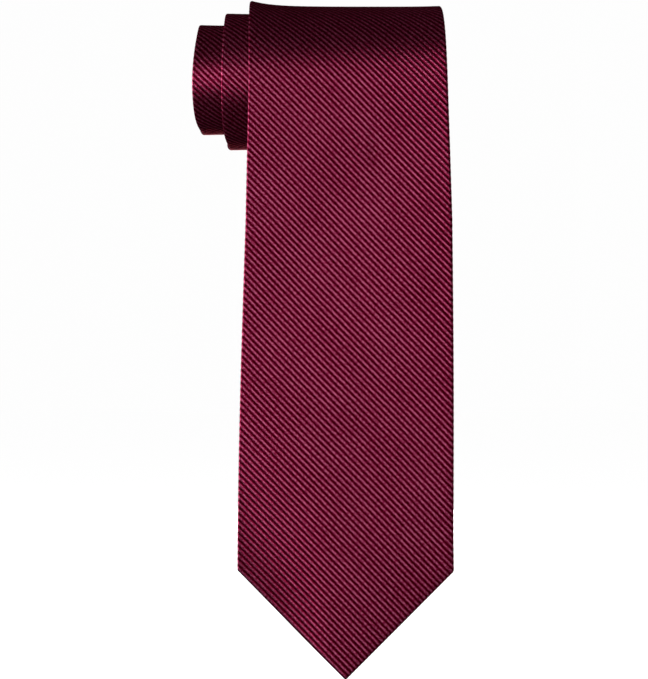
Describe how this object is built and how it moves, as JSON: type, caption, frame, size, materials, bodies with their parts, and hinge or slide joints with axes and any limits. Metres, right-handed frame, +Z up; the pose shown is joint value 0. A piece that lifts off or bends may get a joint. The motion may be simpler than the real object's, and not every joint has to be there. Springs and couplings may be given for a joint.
{
  "type": "necktie",
  "caption": "Solid repp-weave necktie wound into a loose roll, with its wide pointed blade hanging down from the front of the roll.",
  "frame": {"origin": "middle of the flat at the rearmost line of the roll, level with the roll's axis, where a display board or a pin holds the tie", "axes": "+Z up, along the hanging blade towards the roll; +Y out of the back of the roll; +X to the right when the tie's face is seen from the front"},
  "size_m": [0.115, 0.0722, 0.2982],
  "materials": {
    "maroon_repp": "ribbed satin sheen",
    "interlining_felt": "brushed wool and viscose",
    "tipping_satin": "smooth satin",
    "maroon_thread": "twisted thread",
    "label_satin": "woven satin label",
    "care_ribbon": "woven ribbon"
  },
  "bodies": {
    "roll": {"outer_turn_shell": "maroon_repp", "outer_turn_interlining": "interlining_felt", "outer_turn_slip_stitch": "maroon_thread"},
    "blade": {"blade_shell": "maroon_repp", "blade_interlining": "interlining_felt", "blade_slip_stitch": "maroon_thread", "maker_label": "label_satin", "keeper_loop": "maroon_repp", "keeper_left_end": "maroon_repp", "keeper_right_end": "maroon_repp", "keeper_left_tack": "maroon_thread", "keeper_right_tack": "maroon_thread"},
    "care_label": {"care_label": "care_ribbon"},
    "tip": {"tip_shell": "maroon_repp", "tip_interlining": "interlining_felt", "blade_tipping": "tipping_satin", "blade_bar_tack": "maroon_thread", "slack_loop": "maroon_thread"},
    "middle_turn": {"middle_turn_shell": "maroon_repp", "middle_turn_interlining": "interlining_felt", "middle_turn_slip_stitch": "maroon_thread"},
    "core": {"inner_turn_shell": "maroon_repp", "neck_shell": "maroon_repp", "tail_shell": "maroon_repp", "core_interlining": "interlining_felt", "core_slip_stitch": "maroon_thread", "tail_bar_tack": "maroon_thread", "tail_tipping": "tipping_satin"}
  },
  "joints": [
    {"name": "blade_lift", "type": "hinge", "parent": "roll", "child": "blade", "pos_m": [0, -0.07221, 0], "axis": [-1, 0, 0], "range_deg": [-8, 100]},
    {"name": "tip_fold", "type": "hinge", "parent": "blade", "child": "tip", "pos_m": [0, -0.07221, -0.1464], "axis": [-1, 0, 0], "range_deg": [-40, 120]},
    {"name": "care_label_flip", "type": "hinge", "parent": "blade", "child": "care_label", "pos_m": [0.016, -0.07011, -0.1074], "axis": [1, 0, 0], "range_deg": [0, 150]},
    {"name": "middle_turn_slide", "type": "slide", "parent": "roll", "child": "middle_turn", "axis": [1, 0, 0], "range_m": [-0.008, 0.011]},
    {"name": "core_slide", "type": "slide", "parent": "middle_turn", "child": "core", "axis": [1, 0, 0], "range_m": [-0.008, 0.011]}
  ],
  "couplings": [
    {"joint": "core_slide", "follows": "middle_turn_slide", "ratio": 1}
  ]
}
